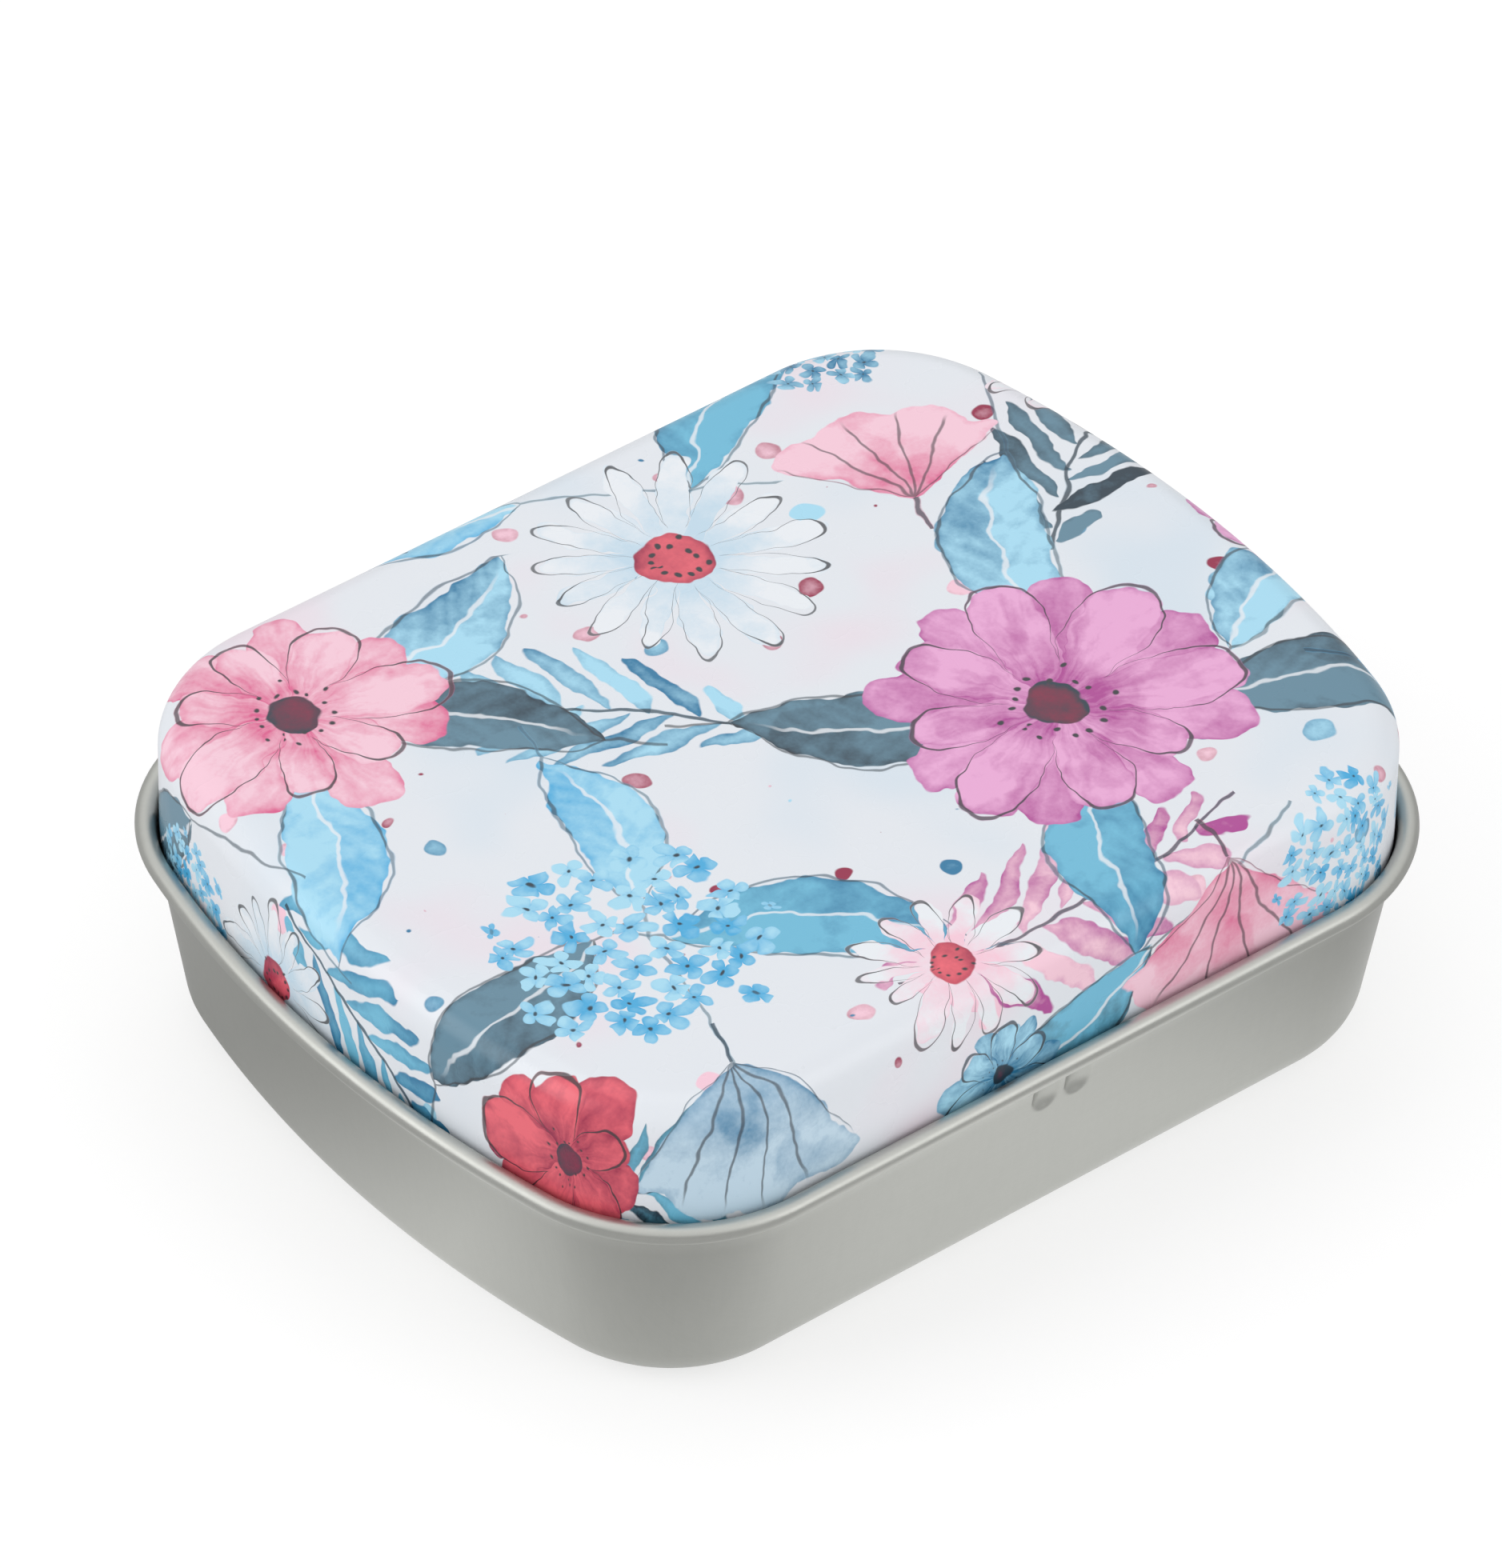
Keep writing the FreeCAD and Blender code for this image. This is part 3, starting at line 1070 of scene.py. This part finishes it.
def wandering(place, scale, detail, reach):
    """A place moved about by noise, by up to about half of reach."""
    tree = tree_of(place)
    swing = noise(place, scale, detail, output="Color")
    swing = add_node(tree, "VectorMath", {0: swing, 1: (noise_middle, noise_middle, noise_middle)},
                     operation="SUBTRACT")
    return add_node(tree, "VectorMath", {0: swing, 1: (reach, reach, 0), 2: place},
                    operation="MULTIPLY_ADD")


def local(place, middle, turn, size):
    """A place in a motif's own coordinates."""
    tree = tree_of(place)
    turned = add_node(tree, "Mapping", {"Vector": place, "Location": middle, "Rotation": turn},
                      vector_type="TEXTURE")
    return add_node(tree, "VectorMath", {0: turned, 1: size}, operation="MULTIPLY")


def print_colour(place):
    """The whole print, layer on layer, at a place on the flat sheet in mm."""
    wash = wandering(place, wash_sway_scale, sway_detail, wash_sway_reach)
    pen = wandering(place, pen_sway_scale, sway_detail, pen_sway_reach)
    spread = noise(place, blot_scale, blot_detail, blot_roughness)
    bloom = ramp(noise(place, bloom_scale, bloom_detail), *bloom_edge, -bloom_tone, bloom_tone)
    grain = noise(place, grain_scale) * grain_tone
    blot = spread * blot_tone + bloom + grain + blot_least_tone
    press = spread * pen_width
    cloud = noise(place, cloud_scale)
    colour = blend(ramp(cloud, *blue_cloud, 0.0, blue_cloud_cover), ground, mist)
    colour = blend(ramp(cloud, *pink_cloud, 0.0, pink_cloud_cover), colour, rose_pale)
    for draw, motifs in print_layers:
        middle, settings, deep, pale = nearest(place, motifs)
        turn, size, bend = (part(settings, axis) for axis in range(3))
        if isinstance(size, Value):
            rotation, shrink = vector(0.0, 0.0, turn), vector(1 / size, 1 / size, 0.0)
        else:
            rotation, shrink = (0, 0, turn), (1 / size, 1 / size, 0)
        own = Own(local(wash, middle, rotation, shrink), local(pen, middle, rotation, shrink),
                  blot, press, size, bend, part(middle, 2), deep, pale)
        top = draw(own)
        colour = blend(top[1], colour, top[0])
    return colour


def bump(height, strength, distance):
    """A bumped surface direction. distance is the relief's full height in mm."""
    inputs = {"Height": height, "Strength": strength, "Distance": distance * MM}
    return add_node(tree_of(height), "Bump", inputs)


def on_flat_sheet(tree):
    """The place on the sheet before it was bent, in mm."""
    flat = add_node(tree, "UVMap", {}, uv_map="flat_sheet")
    return add_node(tree, "VectorMath", {0: flat, "Scale": 1 / MM}, operation="SCALE")


def stretched(place, scales):
    """A place scaled by its own amount along each axis."""
    return add_node(tree_of(place), "VectorMath", {0: place, 1: scales}, operation="MULTIPLY")


def on_object(tree):
    """The place on the object, in mm."""
    return stretched(add_node(tree, "TexCoord", {}, output="Object"), (1 / MM, 1 / MM, 1 / MM))


def print_material():
    """Watercolour print under clear varnish, on a white ground."""
    material, shader = new_material("lid_print")
    place = on_flat_sheet(material.node_tree)
    feed(shader.inputs["Base Color"], print_colour(place))
    smear = noise(place, smear_scale, smear_detail)
    feed(shader.inputs["Roughness"], ramp(smear, *noise_band, *varnish_roughness))
    peel = noise(place, peel_scale) + noise(place, ripple_scale, ripple_detail) * ripple_height
    feed(shader.inputs["Normal"], bump(peel, peel_bump, peel_relief))
    return material


def tin_material(name, crest):
    """Satin tinplate: rolling lines along the sheet, draw marks up the walls and smudges. Towards the
    height crest its colour is painted lighter, painted light that lifts the rim's shade on the wall,
    and it is worn a little duller at the very top."""
    material, shader = new_material(name)
    place = on_flat_sheet(material.node_tree)
    spot = on_object(material.node_tree)
    rolled = noise(stretched(place, rolled_scale), 1.0, line_detail, line_roughness)
    drawn = noise(stretched(spot, drawn_scale), 1.0, line_detail, line_roughness)
    smudge = noise(spot, smudge_scale, smudge_detail, smudge_roughness)
    speck = noise(spot, speck_scale)
    marks = rolled * mark_share + drawn * (1 - mark_share)
    worn = ramp(part(spot, 2), crest - worn_depth, crest)
    # Painted light: lighter colour from just under the rim up, lifting the rim's shade on the wall
    painted_rim_light = ramp(part(spot, 2), *(crest - depth for depth in painted_rim_light_depths))
    tone = marks * mark_tone + smudge * smudge_tone + painted_rim_light * painted_rim_light_tone + tin_least_tone
    feed(shader.inputs["Base Color"], blend(tone, tin_dark, tin_bright))
    shader.inputs["Metallic"].default_value = 1.0
    dull = smudge * smudge_dulling + marks * mark_dulling + speck * speck_dulling + tin_least_roughness
    feed(shader.inputs["Roughness"], dull + worn * worn_dulling)
    feed(shader.inputs["Normal"], bump(marks + speck * speck_height, tin_bump, tin_relief))
    return material


def wire_material():
    """Drawn steel wire."""
    material, shader = new_material("pin_steel")
    spot = on_object(material.node_tree)
    lines = noise(stretched(spot, wire_line_scale), 1.0, line_detail, line_roughness)
    stain = noise(spot, stain_scale, stain_detail)
    tone = lines * (1 - stain_share) + stain * stain_share
    feed(shader.inputs["Base Color"], blend(tone, wire_dark, wire_bright))
    shader.inputs["Metallic"].default_value = 1.0
    feed(shader.inputs["Roughness"], ramp(stain, *noise_band, *wire_roughness))
    feed(shader.inputs["Normal"], bump(lines, wire_bump, wire_relief))
    return material


# Pieces

base = make_base()
base_tin = tin_material("tinplate", rim_height)
base.data.materials.append(base_tin)
base.data.materials.append(base_tin)
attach(base, "base")
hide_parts("base_pan")

lid = make_lid()
lid.data.materials.append(print_material())
lid.data.materials.append(tin_material("lid_inside", lid_inside_crest))
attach(lid, "lid")
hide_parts("lid")

pin = bpy.data.objects["hinge_pin"]
wire = wire_material()
for slot in pin.material_slots:
    slot.material = wire


# Stage

def ray_kind(tree, *names):
    """1 for rays of these kinds, otherwise 0."""
    node = tree.nodes.new("ShaderNodeLightPath")
    kinds = [Value(node.outputs[name]) for name in names]
    return kinds[0] if len(kinds) == 1 else calc("MAXIMUM", *kinds)


def make_floor():
    """A pale floor under the box. The camera sees it white where no shadow falls, the tin mirrors a pool
    of painted light glowing round the box, and other bounced light meets a paler floor."""
    mesh = bmesh.new()
    bmesh.ops.create_grid(mesh, x_segments=1, y_segments=1, size=floor_half_size * MM)
    data = bpy.data.meshes.new("floor")
    mesh.to_mesh(data)
    mesh.free()
    floor = bpy.data.objects.new("floor", data)
    bpy.context.scene.collection.objects.link(floor)
    material, shader = new_material("floor")
    tree = material.node_tree
    shade = blend(ray_kind(tree, "Is Diffuse Ray"), floor_colour, floor_bounce)
    feed(shader.inputs["Base Color"], shade)
    shader.inputs["Roughness"].default_value = 1.0
    shader.inputs["Specular IOR Level"].default_value = 0.0
    shader.inputs["Emission Color"].default_value = WHITE
    spot = on_object(tree)
    # Painted light: a pool of glow on the floor round the box, seen only by reflected rays
    away = abs(part(spot, 0) - pool_centre[0]) + abs(part(spot, 1) - pool_centre[1])
    pool = ramp(away, pool_inner, pool_outer, pool_glow, pool_glow * pool_edge_share)
    glossy = ray_kind(tree, "Is Glossy Ray", "Is Transmission Ray") * pool
    direct = ray_kind(tree, "Is Camera Ray") * floor_glow
    feed(shader.inputs["Emission Strength"], calc("MAXIMUM", glossy, direct))
    data.materials.append(material)


def area_light(name, place, size, power):
    """A square soft box aimed at the box's middle."""
    lamp = bpy.data.lights.new(name, "AREA")
    lamp.shape = "SQUARE"
    lamp.size = size * MM
    lamp.energy = power
    light = bpy.data.objects.new(name, lamp)
    light.location = Vector(place) * MM
    light.rotation_euler = (-Vector(place)).to_track_quat("-Z", "Y").to_euler()
    bpy.context.scene.collection.objects.link(light)


def make_world():
    """A white room: ambient light, stronger from low down, plain white where the camera sees it, and
    dimmer towards the horizon where the box mirrors it."""
    world = bpy.data.worlds.new("studio")
    bpy.context.scene.world = world
    world.use_nodes = True
    tree = world.node_tree
    room = tree.nodes["Background"]
    room.inputs["Color"].default_value = WHITE
    height = part(add_node(tree, "TexCoord", {}, output="Generated"), 2)
    mirrored = ray_kind(tree, "Is Glossy Ray", "Is Transmission Ray")
    gloss = ramp(height, dim_below, bright_above, horizon_gloss, 1.0) * mirrored
    plain = ramp(height, 0.0, 1.0, horizon_ambient, zenith_ambient) * (1 - mirrored) + gloss
    feed(room.inputs["Strength"], calc("MAXIMUM", plain, ray_kind(tree, "Is Camera Ray")))


def make_camera():
    """The photograph's camera: its aim puts the frame's origin at its pixel."""
    right = Vector((math.cos(view_azimuth), math.sin(view_azimuth), 0))
    back = Vector((math.sin(view_azimuth) * math.cos(view_elevation),
                   -math.cos(view_azimuth) * math.cos(view_elevation), math.sin(view_elevation)))
    turn = Matrix.Rotation(view_roll, 3, back)
    right, up = turn @ right, turn @ back.cross(right)
    aim_pixels = right * (photo_width / 2 - origin_pixel[0]) + up * (origin_pixel[1] - photo_height / 2)
    place = (aim_pixels / pixels_per_mm + back * view_distance) * MM
    camera_data = bpy.data.cameras.new("camera")
    camera_data.sensor_width = sensor
    camera_data.lens = sensor * pixels_per_mm * view_distance / photo_height
    camera_data.clip_end = view_reach * MM
    camera = bpy.data.objects.new("camera", camera_data)
    camera.matrix_world = Matrix((
        (right.x, up.x, back.x, place.x), (right.y, up.y, back.y, place.y),
        (right.z, up.z, back.z, place.z), (0, 0, 0, 1)))
    bpy.context.scene.collection.objects.link(camera)
    bpy.context.scene.camera = camera


make_floor()
make_world()
for lamp_values in lamps:
    area_light(*lamp_values)
make_camera()
bpy.context.scene.view_settings.view_transform = "Standard"
